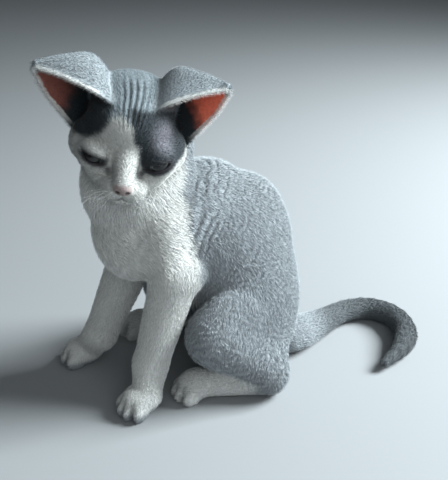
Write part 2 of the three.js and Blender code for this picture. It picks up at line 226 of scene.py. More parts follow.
def paw(leg):
    """A low pad with four toes in an arc in front of it."""
    x, y, z = leg["paw"]
    masses = [lump([x, y, z], [PAW_WIDTH * 0.46, PAW_LENGTH / 2, z + 0.6], [0, 0, leg["turn"]])]
    for slot in (-1.5, -0.5, 0.5, 1.5):
        forward = -PAW_LENGTH * 0.36 + abs(slot) ** 1.6 * 2.2
        toe = turned((0, 0, leg["turn"])) @ [slot * TOE_SPACING, forward, 0] + [x, y, z * 0.62]
        spread = turned((0, 0, leg["turn"] + slot * TOE_FAN)) @ turned((TOE_RISE, 0, 0))
        masses.append(lump(toe, TOE_RADII, axes=spread))
    return masses


def foreleg(leg):
    """Forearm from elbow to wrist, and the swell of muscle under the elbow."""
    x, y, z = leg["elbow"]
    return flesh([rod(leg["elbow"], leg["wrist"], 15.5, 11.3), lump([x, y + 4, z + 2], [14, 17, 14])], 2)


def forepaw(leg):
    """Paw, toes and the pastern down from the wrist."""
    x, y, z = leg["paw"]
    return flesh([*paw(leg), rod(leg["wrist"], [x, y + 3, z + 2], 11, 9.5)], PAW_SOFTNESS)


def thigh(leg):
    """Thigh from hip to knee, and the shank down to the hock."""
    hip, knee, hock = (np.array(leg[k], float) for k in ("hip", "knee", "hock"))
    outward = np.degrees(np.arctan2(knee[0] - hip[0], hip[1] - knee[1]))
    shank = hock + [0, 0, 5]
    masses = [
        lump((hip + knee) / 2, [18, 34, 31], [0, 0, outward]),
        rod(knee, shank, 17, 11),
        rod([hip[0] * 1.15, hip[1] + 2, 34], shank, 15, 11),
    ]
    return flesh(masses, 4)


def hind_foot(leg):
    """Long hind foot from hock to toes."""
    return flesh([*paw(leg), rod(leg["hock"], leg["paw"], 10.5, 9)], PAW_SOFTNESS)


TAIL = [
    [8, 36, 20], [10, 54, 13.7], [0, 79, 10.4], [-11, 105, 8.4], [-9, 126, 7.9],
    [7, 138, 7.8], [28, 135, 7.7], [44, 121.5, 7.4], [54, 103, 6],
]
TAIL_PLACES = 25
TAIL_ROOT = 14  # the tail's radius at its root
TAIL_THINNING = 5.7  # how much thinner it is past two fifths of its length
TAIL_POINT = 4.5  # how much thinner again at its tip
tail_line = evenly(TAIL, TAIL_PLACES)
tail_at = np.linspace(0, 1, TAIL_PLACES)
tail_width = TAIL_ROOT - TAIL_THINNING * smoothstep(tail_at, 0, 0.4)
tail_width = tail_width - TAIL_POINT * smoothstep(tail_at, 0.8, 1)
tail = flesh([rod(*tail_line[i : i + 2], *tail_width[i : i + 2]) for i in range(TAIL_PLACES - 1)], 0.8)

# Head
# The skull with its cheeks, eye bulges, bridge, whisker pads, chin and jaws, in the head's own
# axes. Eye openings, nostrils and the line of the mouth are cut into it by hollows.
HALF = 33  # half the head's width over the cheekbones
FOLD_SPACING = 2.9
FOLD_DEPTH = 0.55
FOLDS_TO_SIDE = 7.5  # how far from the middle of the forehead the folds fade
FACE_COAT = 0.7  # depth of the down on the face
HOLLOW_EDGE = 0.35  # how softly the eye openings, nostrils and mouth are cut in
EAR_HOLLOW_EDGE = 1.5  # how softly the head is cut away under the cups of the ears

skull = flesh(
    [
        lump([0, 8, 3], [HALF - 4.5, 29, 23]),
        lump([0, -10, 6], [HALF - 11, 18, 15.5]),
        *both(lambda s: lump([s * (HALF - 12.5), -6, -7], [11.5, 17, 12.5], [0, 0, s * 18])),
        *both(lambda s: lump([s * 13, -22, -15.5], [9, 10, 7.5])),
        rod([0, -20, -2], [0, -38, -11.3], 8.5, 5),
        *both(lambda s: lump([s * 5.8, -33.5, -19.2], [7.4, 8.4, 6.6])),
        lump([0, -30.5, -25.8], [7.2, 8, 5.2]),
        *both(lambda s: rod([s * 17, -2, -16], [s * 5, -27, -22], 9.5, 6)),
        *both(lambda s: lump(EYE * [s, 1, 1], [EYE_RADIUS + 1.7] * 3)),
    ],
    2,
)
nose_leather = lump([0, -41, -14.2], [5, 4.4, 3.7], [-12, 0, 0])
eye_openings = flesh(
    both(lambda s: lump([s * 17, -31.6, -5.3], [7.2, 5, 1.8], [4, s * -18, s * 22])), 0.3
)


def brow_folds(p):
    """Upright folds between the ears: a cosine across the forehead that fades to its edges."""
    x, y, z = p.T
    off = x - 1
    high = smoothstep(z, 9, 17) * smoothstep(12 - y, 0, 14)
    lean = off * (1 + 0.05 * (20 - z)) + 0.4 * np.sin(y / 5)
    across = np.exp(-((off / FOLDS_TO_SIDE) ** 4))
    return FOLD_DEPTH * high * across * np.cos(lean / FOLD_SPACING * 2 * np.pi)


def head_form(p):
    """Skull and folds less the depth of the down, and the bare nose."""
    return -np.logaddexp(-(skull(p) + brow_folds(p) + FACE_COAT), -nose_leather(p))


def on_face(x, z):
    """The place on the face straight ahead of x and z, by halving."""
    near, far = np.full(len(x), -10.0), np.full(len(x), -60.0)
    for _ in range(24):
        middle = (near + far) / 2
        within = head_form(np.column_stack([x, middle, z])) < 0
        near, far = np.where(within, middle, near), np.where(within, far, middle)
    return np.column_stack([x, near, z])


def groove(points, radius):
    """A round channel through the points."""
    return flesh([rod(points[i], points[i + 1], radius, radius) for i in range(len(points) - 1)], 0.2)


MOUTH_ACROSS = np.array([0, 1.6, 3.4, 5.2, 7, 8.8, 10.4, 12])
MOUTH_UP = np.array([-22.2, -23.4, -24.1, -24.2, -23.7, -22.8, -21.7, -20.4])
mouth = flesh(both(lambda s: groove(on_face(s * MOUTH_ACROSS, MOUTH_UP), 0.55)), 0.2)
philtrum = groove(on_face(np.zeros(4), np.array([-17.4, -19, -20.6, -22.2])), 0.4)
nostrils = flesh(both(lambda s: lump([s * 2.7, -44.8, -14.8], [1.2, 2.2, 0.85], [0, s * 25, 0])), 0.2)
ear_hollows = flesh(both(lambda s: lump([s * 28, 5, 8], [7, 9, 15], [0, s * 30, 0])), 0.5)
hollows = flesh([mouth, philtrum, nostrils, eye_openings], 0.25)


def head(places):
    """The head with its hollows, which are cut in softly: the higher of form and hollow inside out."""
    p = to_head(places)
    cut = np.logaddexp(head_form(p) / HOLLOW_EDGE, -hollows(p) / HOLLOW_EDGE) * HOLLOW_EDGE
    return np.logaddexp(cut / EAR_HOLLOW_EDGE, -ear_hollows(p) / EAR_HOLLOW_EDGE) * EAR_HOLLOW_EDGE


# Ears
# Each ear is a thin cup of skin and gristle, wide at the base. It is drawn between three curves
# that start at the base and meet at the tip, and its rim runs up the front and the outer side.
EAR_FRONT = [[9, -12, 16], [20, -11, 23.5], [34, -7, 28], [50, -2, 30.5]]
EAR_BACK = [[15, 24, 9], [24, 20, 26.5], [37, 9, 31.5], [51, -1, 32]]
EAR_OUTER = [[29, 1, -10], [37, 0, 1.5], [45.5, -1, 15], [51.5, -2, 29.5]]
EAR_ROOT = np.array([26, 6, 8])
EAR_LIFT = {1: 4, -1: -5}  # degrees that each ear is raised on its own
EAR_ROWS = 56
EAR_COLUMNS = 61
EAR_BACK_LINE = slice(EAR_COLUMNS // 2, EAR_COLUMNS // 2 + 1)
EAR_HALF = 0.55  # half the ear's thickness at its rim, and how much that gains inside the rim
EAR_ROOT_HALF = 0.8  # what half the thickness gains at the root
EAR_GRAIN = 0.7  # half the spacing of the ear's own places
EAR_TOUCH = 7  # the square of how near the ear is read
EAR_CELL = 1.6  # spacing of the ear's chart
EAR_MARGIN = 9  # how far round the ear its box reaches
STEPS_UP, STEPS_ROUND = (k.ravel() for k in np.meshgrid(range(-2, 3), range(-2, 3)))


def nearest(places, targets):
    """For each place the number of the nearest target."""
    found = []
    for chunk in np.array_split(places, max(1, len(places) // 2000)):
        found.append(((targets**2).sum(1) - 2 * chunk @ targets.T).argmin(1))
    return np.concatenate(found)


def ear(s):
    """The ear's middle surface, of arcs from the front curve round the back to the outer one, with
    the way into the cup and the way up to the tip at each place, how far it is from the rim, and
    a chart of nearest places."""
    t = np.linspace(0, 1, EAR_ROWS) ** 0.9 * 0.985
    front, back, outer = (curve(points, t)[:, None] for points in (EAR_FRONT, EAR_BACK, EAR_OUTER))
    pull = 2 * back - 0.5 * front - 0.5 * outer
    u = np.linspace(0, 1, EAR_COLUMNS)[None, :, None]
    places = (1 - u) ** 2 * front + 2 * u * (1 - u) * pull + u**2 * outer
    places = (places - EAR_ROOT) @ turned((0, -EAR_LIFT[s], 0)).T + EAR_ROOT
    grid = from_head((places * [s, 1, 1]).reshape(-1, 3)).reshape(EAR_ROWS, EAR_COLUMNS, 3)
    up, around = np.gradient(grid, axis=0), np.gradient(grid, axis=1)
    inward = unit(np.cross(up, around))
    chord = (grid[:, :1] + grid[:, -1:]) / 2 - grid[:, EAR_BACK_LINE]
    inward *= np.sign((chord * inward[:, EAR_BACK_LINE]).sum())
    rim = np.linalg.norm(around, axis=2) * (EAR_COLUMNS - 1) * np.minimum(u, 1 - u)[..., 0]
    half = EAR_HALF + EAR_HALF * smoothstep(rim, 0, 9) * (1 - t[:, None])
    half = half + EAR_ROOT_HALF * (1 - smoothstep(t, 0, 0.25))[:, None]
    sheet = {"places": grid - inward * 0.5, "inward": inward, "up": unit(up), "around": unit(around)}
    sheet = {name: value.reshape(-1, 3) for name, value in sheet.items()}
    sheet |= {"half": half.ravel(), "rim": rim.ravel(), "height": np.repeat(t, EAR_COLUMNS), "side": s}
    sheet["low"] = sheet["places"].min(0) - EAR_MARGIN
    sheet["high"] = sheet["places"].max(0) + EAR_MARGIN
    cells = [np.arange(a, b, EAR_CELL) for a, b in zip(sheet["low"], sheet["high"])]
    centres = np.stack(np.meshgrid(*cells, indexing="ij"), -1)
    sheet["chart"] = nearest(centres.reshape(-1, 3), sheet["places"]).reshape(centres.shape[:3])
    return sheet


EARS = [ear(s) for s in SIDES.values()]


def on_ear(sheet, places):
    """The nearest place of an ear: the chart's, then the best of its neighbours, twice over."""
    cell = ((places - sheet["low"]) / EAR_CELL + 0.5).astype(int)
    which = sheet["chart"][tuple(np.clip(cell, 0, np.array(sheet["chart"].shape) - 1).T)]
    for _ in range(2):
        rows = np.clip(which[:, None] // EAR_COLUMNS + STEPS_UP, 0, EAR_ROWS - 1)
        columns = np.clip(which[:, None] % EAR_COLUMNS + STEPS_ROUND, 0, EAR_COLUMNS - 1)
        near = rows * EAR_COLUMNS + columns
        gaps = ((sheet["places"][near] - places[:, None]) ** 2).sum(2)
        which = near[np.arange(len(places)), gaps.argmin(1)]
    return which


def by_ear(sheet, places):
    """Which places lie in the ear's box, and for each the nearest place of the ear, how far it is
    through the ear from there, and the square of how far off."""
    close = np.flatnonzero(((places > sheet["low"]) & (places < sheet["high"])).all(1))
    which = on_ear(sheet, places[close])
    off = places[close] - sheet["places"][which]
    return close, which, (off * sheet["inward"][which]).sum(1), (off * off).sum(1)


def ears(places, least=0):
    """Outside both ears: how far off their middle surface, less half their thickness there, or
    less the least half that is given, where that is more. Far off it is 20 mm."""
    result = np.full(len(places), 20.0)
    for sheet in EARS:
        close, which, through, square = by_ear(sheet, places)
        beside = np.maximum(np.sqrt(np.maximum(square - through**2, 0)) - EAR_GRAIN, 0)
        gap = np.hypot(through, beside) - np.maximum(sheet["half"][which], least)
        result[close] = np.minimum(result[close], gap)
    return result


# Skin
# One skin covers the whole kitten and stands for every flesh node. It lies inside the solids
# by the depth of the coat, and the face, mouth and lids are drawn finer than the body.
BLEND = 1.6  # how softly the parts flow together
EAR_BLEND = 0.8  # how softly the ears grow from the head
FAR_OFF = 10  # a part's own field is worked out only this near to it
SKIN_STEP = 1.5  # between the skin's points on the body
EAR_NET_HALF = 1.35  # half the ear's thickness while the net is laid, so that it gets no holes
HEAD_MIDDLE, HEAD_REACH = [0, -6, 4], 46  # where the skin is drawn twice as finely as the body
MUZZLE_MIDDLE, MUZZLE_REACH = [0, -36, -16], 15  # and where twice again
LIDS_MIDDLE, LIDS_REACH = EYE + [0, -8, 0], 10.5
PARTS = {"trunk": trunk, "neck": neck, "head": head}
for make, legs in ((foreleg, FORELEGS), (forepaw, FORELEGS), (thigh, HINDLEGS), (hind_foot, HINDLEGS)):
    for side in SIDES:
        PARTS[f"{make.__name__}_{side}"] = make(legs[side])
PARTS["tail"] = tail
COAT_DEPTH = {
    "trunk": 1.9, "neck": 1.9, "head": 0, "foreleg": 1.2,
    "forepaw": 0.6, "thigh": 1.7, "hind": 0.7, "tail": 1.2,
}
NODES = {"trunk": ["torso"], "tail": [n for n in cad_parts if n.startswith("tail_")]}
PART_BOXES = {}
for part in PARTS:
    reach = np.vstack([corners(n) for n in NODES.get(part, [part])]) / MM - SHIFT
    PART_BOXES[part] = (reach.min(0), reach.max(0))


def kind(part):
    """The first word of a part's name, which the left and the right one share."""
    return part.split("_")[0]


def part_fields(places):
    """The distance outside each part, a row for each. Where a place is far from a part's box, the
    row holds its distance from that box and FAR_OFF more."""
    rows = []
    for name, field in PARTS.items():
        low, high = PART_BOXES[name]
        away = np.linalg.norm(np.maximum(np.maximum(low - places, places - high), 0), axis=1)
        row = away + FAR_OFF
        close = np.flatnonzero(away < FAR_OFF)
        if len(close):
            row[close] = field(places[close])
        rows.append(row)
    return np.array(rows)


def kitten(places, least_ear=0):
    """Outside the kitten's skin: the soft union of its parts, each less its coat, and its ears."""
    depths = np.array([COAT_DEPTH[kind(part)] for part in PARTS])
    fused = -BLEND * np.logaddexp.reduce(-(part_fields(places) + depths[:, None]) / BLEND, axis=0)
    return -EAR_BLEND * np.logaddexp(-fused / EAR_BLEND, -ears(places, least_ear) / EAR_BLEND)


def surface_net(field, low, high, step):
    """The closed surface where a field is zero, on a grid. Each cell that it passes through gets
    one point, at the mean of the crossings on its edges, and each grid edge that it crosses gets
    a quad between the four cells around it. Only blocks near the surface are worked out finely."""
    block = 4
    half_diagonal = 0.87 * block * step
    shape = np.ceil((high - low) / step / block).astype(int) * block
    coarse = np.stack(np.meshgrid(*[np.arange(n // block) for n in shape], indexing="ij"), -1)
    middles = low + (coarse.reshape(-1, 3) * block + (block - 1) / 2) * step
    rough = field(middles).reshape(coarse.shape[:3])
    values = rough.repeat(block, 0).repeat(block, 1).repeat(block, 2)
    near = np.argwhere(np.abs(values) < half_diagonal + 1.5)
    values[tuple(near.T)] = field(low + near * step)
    inside = values < 0

    offsets = np.array([(i, j, k) for i in (0, 1) for j in (0, 1) for k in (0, 1)])
    cut = [inside[i : shape[0] - 1 + i, j : shape[1] - 1 + j, k : shape[2] - 1 + k] for i, j, k in offsets]
    count = np.sum(cut, axis=0)
    cells = np.argwhere((count > 0) & (count < 8))
    number = np.full(shape, -1)
    number[tuple(cells.T)] = np.arange(len(cells))
    total, crossings = np.zeros((len(cells), 3)), np.zeros((len(cells), 1))
    for a in range(8):
        for b in range(a + 1, 8):
            if np.abs(offsets[a] - offsets[b]).sum() != 1:
                continue
            va, vb = (values[tuple((cells + offsets[k]).T)] for k in (a, b))
            crosses = ((va < 0) != (vb < 0))[:, None]
            share = np.where(crosses, (va / np.where(va == vb, 1, va - vb))[:, None], 0)
            total += crosses * (offsets[a] + share * (offsets[b] - offsets[a]))
            crossings += crosses
    places = low + (cells + total / crossings) * step

    quads = []
    for axis in range(3):
        beside = [np.eye(3, dtype=int)[k] for k in range(3) if k != axis]
        start = inside.take(range(shape[axis] - 1), axis)
        end = inside.take(range(1, shape[axis]), axis)
        edges = np.argwhere(start != end)
        around = [edges, edges - beside[0], edges - beside[0] - beside[1], edges - beside[1]]
        ring = np.column_stack([number[tuple(cell.T)] for cell in around])
        outward = start[tuple(edges.T)] ^ (axis == 1)
        quads.append(np.where(outward[:, None], ring, ring[:, ::-1]))
    return places, np.vstack(quads)


def refined(places, quads, rims, picked):
    """Splits each picked quad in four, with new points at the middle of its edges and of itself.
    A quad beside them takes their new points into its own rim, so that the surface stays closed."""
    pairs = np.sort(np.stack([quads, np.roll(quads, -1, 1)], 2), 2)
    keys, which = np.unique(pairs[..., 0] * len(places) + pairs[..., 1], return_inverse=True)
    which = which.reshape(-1, 4)
    split = np.zeros(len(keys), bool)
    split[which[picked]] = True
    number = np.where(split, len(places) + np.cumsum(split) - 1, -1)
    ends = np.column_stack([keys[split] // len(places), keys[split] % len(places)])
    middles, centres = places[ends].mean(1), places[quads[picked]].mean(1)
    around = number[which]
    centre = np.repeat(len(places) + len(middles) + np.arange(len(centres)), 4).reshape(-1, 4)
    parted = np.stack([quads[picked], around[picked], centre, np.roll(around[picked], 1, 1)], 2)
    beside = ~picked & (around >= 0).any(1)
    rims = [*rims, np.stack([quads[beside], around[beside]], 2).reshape(-1, 8)]
    quads = np.vstack([quads[~picked & ~beside], parted.reshape(-1, 4)])
    return np.vstack([places, middles, centres]), quads, rims


def slope(field, places, reach=0.12):
    """A field's value and its gradient, by four samples on the corners of a tetrahedron."""
    around = np.array([[1, 1, 1], [1, -1, -1], [-1, 1, -1], [-1, -1, 1]]) * reach
    values = np.array([field(places + corner) for corner in around])
    return values.mean(0), values.T @ around / (4 * reach**2)


def settled(places, moving, rounds):
    """The moving places shifted down the slope of the kitten's field until they lie on the skin.
    A round takes them nearly all the way, and at most about a millimetre."""
    places = places.copy()
    for _ in range(rounds):
        value, gradient = slope(kitten, places[moving])
        steep = np.maximum((gradient**2).sum(1), 0.2)
        step = np.clip(value / steep, -1.2, 1.2)
        places[moving] -= gradient * step[:, None] * 0.95
    return places


def piece_of(name, places, faces, rims=(), colours=None):
    """A Blender object in metres, from places in millimetres and faces, with each rim's -1s dropped."""
    loops = np.concatenate([faces.ravel(), *[rim[rim >= 0] for rim in rims]])
    sizes = np.concatenate([np.full(len(faces), faces.shape[1]), *[(rim >= 0).sum(1) for rim in rims]])
    mesh = bpy.data.meshes.new(name)
    mesh.vertices.add(len(places))
    mesh.vertices.foreach_set("co", ((places + SHIFT) * MM).astype(np.float32).ravel())
    mesh.loops.add(len(loops))
    mesh.loops.foreach_set("vertex_index", loops.astype(np.int32))
    mesh.polygons.add(len(sizes))
    starts = np.concatenate([[0], np.cumsum(sizes)[:-1]]).astype(np.int32)
    mesh.polygons.foreach_set("loop_start", starts)
    mesh.polygons.foreach_set("use_smooth", np.full(len(sizes), True))
    mesh.update(calc_edges=True)
    if colours is not None:
        layer = mesh.attributes.new("coat_colour", "FLOAT_COLOR", "POINT")
        rgba = np.column_stack([colours, np.ones(len(colours))]).astype(np.float32)
        layer.data.foreach_set("color", rgba.ravel())
    piece = bpy.data.objects.new(name, mesh)
    bpy.context.collection.objects.link(piece)
    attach(piece, "root")
    return piece


def folded(p):
    """Head places with both sides laid on the left one."""
    return np.abs(p) * [1, 0, 0] + p * [0, 1, 1]


def near_head(places):
    """Which places are on the head or the ears."""
    return (np.linalg.norm(to_head(places) - HEAD_MIDDLE, axis=1) < HEAD_REACH) | (ears(places) < 2)


def near_face(places):
    """Which places are on the muzzle or the lids."""
    p = to_head(places)
    to_lids = np.linalg.norm(folded(p) - LIDS_MIDDLE, axis=1)
    return (np.linalg.norm(p - MUZZLE_MIDDLE, axis=1) < MUZZLE_REACH) | (to_lids < LIDS_REACH)


def near_hollows(places):
    """Which places are at the edges of the eye openings, nostrils and mouth."""
    return hollows(to_head(places)) < 0.9


box_low = np.array(cad_box[0]) / MM - SHIFT - 3
box_high = np.array(cad_box[1]) / MM - SHIFT + 3
skin_places, skin_quads = surface_net(lambda p: kitten(p, EAR_NET_HALF), box_low, box_high, SKIN_STEP)
skin_places = settled(skin_places, slice(None), 2)
skin_rims = []
for finer in (near_head, near_face, near_hollows):
    picked = finer(skin_places[skin_quads].mean(1))
    kept = len(skin_places)
    skin_places, skin_quads, skin_rims = refined(skin_places, skin_quads, skin_rims, picked)
    skin_places = settled(skin_places, slice(kept, None), 3)
skin_places[:, 2] = np.maximum(skin_places[:, 2], 0.25)  # clear of the floor

# Markings
# A blue-grey and white kitten. The lower face, chest, forelegs and hind toes are white, a charcoal
# patch lies over each eye, and the ears are bare within, where red light glowing through them is painted.
TURN = 6.28  # radians in a full turn, for waves that start anywhere
COLOURS = {
    "white": (0.80, 0.80, 0.78),
    # the face's white down, greyed partly by the skin through it and partly as painted shade
    "down": (0.52, 0.52, 0.50),
    "silver": (0.29, 0.32, 0.34),
    # the brow's grey, painted darker than the same grey on the ear backs, as shade
    "slate": (0.20, 0.235, 0.255),
    "grey": (0.38, 0.41, 0.435),
    # the eye patches, painted darker still as shade under the ears, and painted shade deep in the ear cups
    "charcoal": (0.024, 0.032, 0.038),
    "mauve": (0.18, 0.175, 0.20),
    # painted light glowing red through the left ear
    "painted_glow": (0.95, 0.22, 0.13),
    "russet": (0.26, 0.09, 0.07),
    "nose": (0.36, 0.29, 0.28),
    # the lids' own dark rims, and painted shade round the eyes, nostrils and mouth
    "dark_skin_and_shade": (0.025, 0.023, 0.027),
    "tail": (0.13, 0.145, 0.155),
    "pupil": (0.004, 0.004, 0.005),
    "iris": (0.055, 0.075, 0.075),
    "eye_rim": (0.02, 0.022, 0.024),
}
WANDER_WAVES = 7
dice = np.random.default_rng(11)
WANDER_WAYS = unit(dice.normal(size=(WANDER_WAVES, 3)))
WANDER_STARTS = dice.uniform(0, TURN, WANDER_WAVES)


def wander(places, length):
    """A smooth noise of about -1 to 1: the mean of seven sine waves of about that length, raised."""
    lengths = length * np.linspace(0.7, 1.4, WANDER_WAVES)
    return np.sin(places @ (WANDER_WAYS / lengths[:, None]).T * 2 * np.pi + WANDER_STARTS).mean(1) * 1.6


def patch(p, centre, radii, soft, ragged=0, degrees=(0, 0, 0)):
    """1 inside an egg-shaped patch and 0 outside, across an edge that is soft and ragged."""
    edge = lump(centre, radii, degrees)(p) + ragged * wander(p, 5)
    return 1 - smoothstep(edge, -soft, soft)


def ear_reading(places, name):
    """A reading of the nearest ear at each place, and 0 away from the ears."""
    result = np.zeros(len(places))
    for sheet in EARS:
        close, which, through, square = by_ear(sheet, places)
        value = {"cup": through > 0, "back": through <= 0}.get(name)
        value = sheet[name][which] if value is None else value
        result[close] = np.where(square < EAR_TOUCH, value, result[close])
    return result


def nearer(part, places):
    """The distance outside the nearer one of a part's pair."""
    return np.minimum(*(PARTS[f"{part}_{side}"](places) for side in SIDES))


def toe_creases(places):
    """1 in the creases between the toes of each paw, and 0 away from them and behind them. The
    toes, and with them the creases, draw apart towards their tips."""
    crease = np.zeros(len(places))
    for leg in (*FORELEGS.values(), *HINDLEGS.values()):
        x, y = ((places - leg["paw"]) @ turned((0, 0, leg["turn"])))[:, :2].T
        slot = x / np.maximum(TOE_SPACING - 0.16 * (y + 9), 3)
        between = np.exp(-(((slot - np.round(slot)) / 0.17) ** 2)) * (np.abs(slot) < 1.5)
        crease = np.maximum(crease, between * smoothstep(-y, 5, 9) * (y > -PAW_LENGTH))
    return crease * (1 - smoothstep(places[:, 2], 12, 15))


def body_colour(places):
    """Blue-grey with a white bib down to the forepaws, white hind toes, a tail that darkens, and painted
    shade between toes.
    """
    _, y, z = places.T
    colour = np.tile(COLOURS["grey"], (len(places), 1))
    border = y + 24 + 5 * np.sin((z - 100) / 22) + 2.2 * wander(places, 14) + 0.9 * wander(places, 5)
    off_thigh = smoothstep(nearer("thigh", places), -1, 1.5)
    bib = (1 - smoothstep(border, -2.5, 2.5)) * smoothstep(z, 4, 8) * off_thigh
    colour = mixed(colour, COLOURS["white"], bib)
    on_foot = 1 - smoothstep(nearer("hind_foot", places), -0.2, 1.5)
    colour = mixed(colour, COLOURS["white"], on_foot * (1 - smoothstep(y, 2, 13)))
    colour = mixed(colour, COLOURS["tail"], smoothstep(y, 58, 92))
    # Painted shade in the creases between the toes.
    return colour * (1 - 0.55 * toe_creases(places)[:, None])


def face_colour(p, ragged):
    """Slate over the brow, its grey darkened as painted shade, white down below it, greyed partly by
    the skin and partly as painted shade, a charcoal patch over each eye, painted darker still as shade,
    thin mauve skin on the left temple, and painted shade in the folds, with a little painted light on the
    ridges between them."""
    x, y, z = p.T
    white_face = 1 - smoothstep(z + 0.35 * y - 5 + 1.2 * ragged, -2.5, 2.5)
    blaze = patch(p, [-5.5, -25, 9], [6.5, 8, 8], 2, 0.8)
    # The brow's slate and the face's down are both darkened in part as painted shade.
    face = mixed(np.tile(COLOURS["slate"], (len(p), 1)), COLOURS["down"], np.maximum(white_face, blaze))
    right_patch = patch(p, [-26, -8, 12], [20, 21, 13.5], 1.6, 0.7)
    inner_edge = x + 1 - 0.34 * (19 - z)
    lower_edge = z + 9.8 - 0.02 * (x - 13) ** 2
    top_edge = 0.75 * (4 + 0.6 * np.maximum(x - 10, 0) - z - 0.9 * y)
    left_patch = np.minimum(np.minimum(inner_edge, lower_edge), top_edge) + 0.7 * ragged
    left_patch = smoothstep(left_patch, -1.6, 1.6)
    # The charcoal patches are the kitten's own, and they are painted darker still as shade under the ears.
    face = mixed(face, COLOURS["charcoal"], np.maximum(right_patch, left_patch))
    face = mixed(face, COLOURS["mauve"], 0.8 * patch(p, [18.5, -20.5, 7.5], [6.5, 9, 7.5], 5))
    return face * (1 - 0.45 * np.clip(brow_folds(p) / FOLD_DEPTH, -0.3, 1)[:, None])


def with_ears(colour, places, ear_gap, ragged):
    """The colour with the ears' bare lining, brown in the right ear and red in the left, where light
    glowing through it is painted, charcoal painted shade deep down in both, and a pale rim of painted rim
    light."""
    # Painted light: the left ear's lining glows red, as if lit through from behind.
    to_left = smoothstep(to_head(places)[:, 0], -5, 5)
    lining = mixed(np.tile(COLOURS["russet"], (len(places), 1)), COLOURS["painted_glow"], to_left)
    height = ear_reading(places, "height")
    # Painted shade deep down in the cups of the ears.
    deep = 1 - smoothstep(height + 0.04 * ragged, 0.26, 0.52)
    lining = mixed(lining, COLOURS["charcoal"], deep)
    within = ear_reading(places, "cup") * (1 - smoothstep(height, 0.88, 0.95))
    colour = mixed(colour, lining, within * (1 - smoothstep(ear_gap, 0.5, 2)))
    # Painted rim light along the ears' rims.
    at_rim = (ear_gap < 1.5) * (1 - smoothstep(ear_reading(places, "rim"), 0.3, 1.1))
    return mixed(colour, COLOURS["white"], 0.8 * at_rim * smoothstep(height, 0.12, 0.35))


def markings(places):
    """The coat's colour at each place: the body's, the face's, and on them the ears', the bare nose,
    the lids' dark rims, and painted shade round the eye openings, in the tear ducts, nostrils and mouth."""
    p = to_head(places)
    ear_gap = ears(places)
    ragged = wander(p, 6)
    face = face_colour(p, ragged)
    back_of_ear = (ear_gap < 1.5) * ear_reading(places, "back")
    face = mixed(face, COLOURS["silver"], back_of_ear)
    on_head = 1 - smoothstep(np.minimum(skull(p), ear_gap), 1.5, 4)
    colour = mixed(body_colour(places), face, on_head)
    colour = with_ears(colour, places, ear_gap, ragged)
    # Painted shade round the eye openings, over the lids' own dark rims, and in the inner corners of the
    # eyes.
    lids = 1 - smoothstep(eye_openings(p), 0.1, 3)
    tear_duct_shade = 0.8 * patch(folded(p), [8.8, -32, -10.5], [1.8, 3, 2], 1.2)
    colour = mixed(colour, COLOURS["dark_skin_and_shade"], np.maximum(lids, tear_duct_shade) * on_head)
    colour = mixed(colour, COLOURS["nose"], 1 - smoothstep(nose_leather(p), 0.1, 0.8))
    # Painted shade in the nostrils and along the line of the mouth.
    mouth_and_nostril_shade = 1 - smoothstep(np.minimum(mouth(p), nostrils(p)), 0, 0.6)
    return mixed(colour, COLOURS["dark_skin_and_shade"], 0.7 * mouth_and_nostril_shade)


def set_inputs(node, inputs):
    """Sets a node's inputs by their names."""
    for name, value in inputs.items():
        node.inputs[name].default_value = value


def material_of(name, inputs):
    """A material, and its shader with the inputs that are given."""
    material = bpy.data.materials.new(name)
    material.use_nodes = True
    shader = material.node_tree.nodes["Principled BSDF"]
    set_inputs(shader, inputs)
    return material, shader


def fur_material(name, roughness, bump, streak):
    """Short fur or skin, coloured by the coat's own attribute, with a fine grain all over."""
    soft = {"Specular IOR Level": 0.2, "Sheen Weight": 0.08, "Sheen Roughness": 0.5}
    material, shader = material_of(name, soft | {"Roughness": roughness})
    nodes, links = material.node_tree.nodes, material.node_tree.links
    colour = nodes.new("ShaderNodeAttribute")
    colour.attribute_name = "coat_colour"
    place = nodes.new("ShaderNodeTexCoord")
    grain = nodes.new("ShaderNodeTexNoise")
    set_inputs(grain, {"Scale": streak, "Detail": 4})
    links.new(place.outputs["Object"], grain.inputs["Vector"])
    shade = nodes.new("ShaderNodeMapRange")
    set_inputs(shade, {"From Min": 0.3, "From Max": 0.7, "To Min": 0.85, "To Max": 1.12})
    links.new(grain.outputs["Fac"], shade.inputs["Value"])
    tint = nodes.new("ShaderNodeVectorMath")
    tint.operation = "SCALE"
    links.new(colour.outputs["Color"], tint.inputs[0])
    links.new(shade.outputs["Result"], tint.inputs["Scale"])
    links.new(tint.outputs["Vector"], shader.inputs["Base Color"])
    relief = nodes.new("ShaderNodeBump")
    set_inputs(relief, {"Strength": bump, "Distance": 0.0005})
    links.new(grain.outputs["Fac"], relief.inputs["Height"])
    links.new(relief.outputs["Normal"], shader.inputs["Normal"])
    return material


ROOT_SHADE = 0.72  # painted shade on the skin between the hairs of the body: how dark it is, against their own colour
skin_colours = markings(skin_places)
furred = smoothstep(np.minimum(skull(to_head(skin_places)), ears(skin_places)), 0, 3)
skin_colours *= 1 - (1 - ROOT_SHADE) * furred[:, None]
skin = piece_of("skin", skin_places, skin_quads, skin_rims, skin_colours)
skin.data.materials.append(fur_material("skin_and_down", 0.8, 0.4, 900))
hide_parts(*[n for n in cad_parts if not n.startswith("eye_")])

# Eyes
# Two wet dark eyes behind nearly closed lids, each a ball with a clear bulge in front. The iris
# is slate, and the wide pupil takes most of it.
EYE_RINGS = 40
EYE_SPOKES = 64
BALL_RADIUS = EYE_RADIUS - 0.25  # clear of the lids
CORNEA_RISE = 0.5
GAZE_UP, GAZE_OUT = 4, 12  # degrees


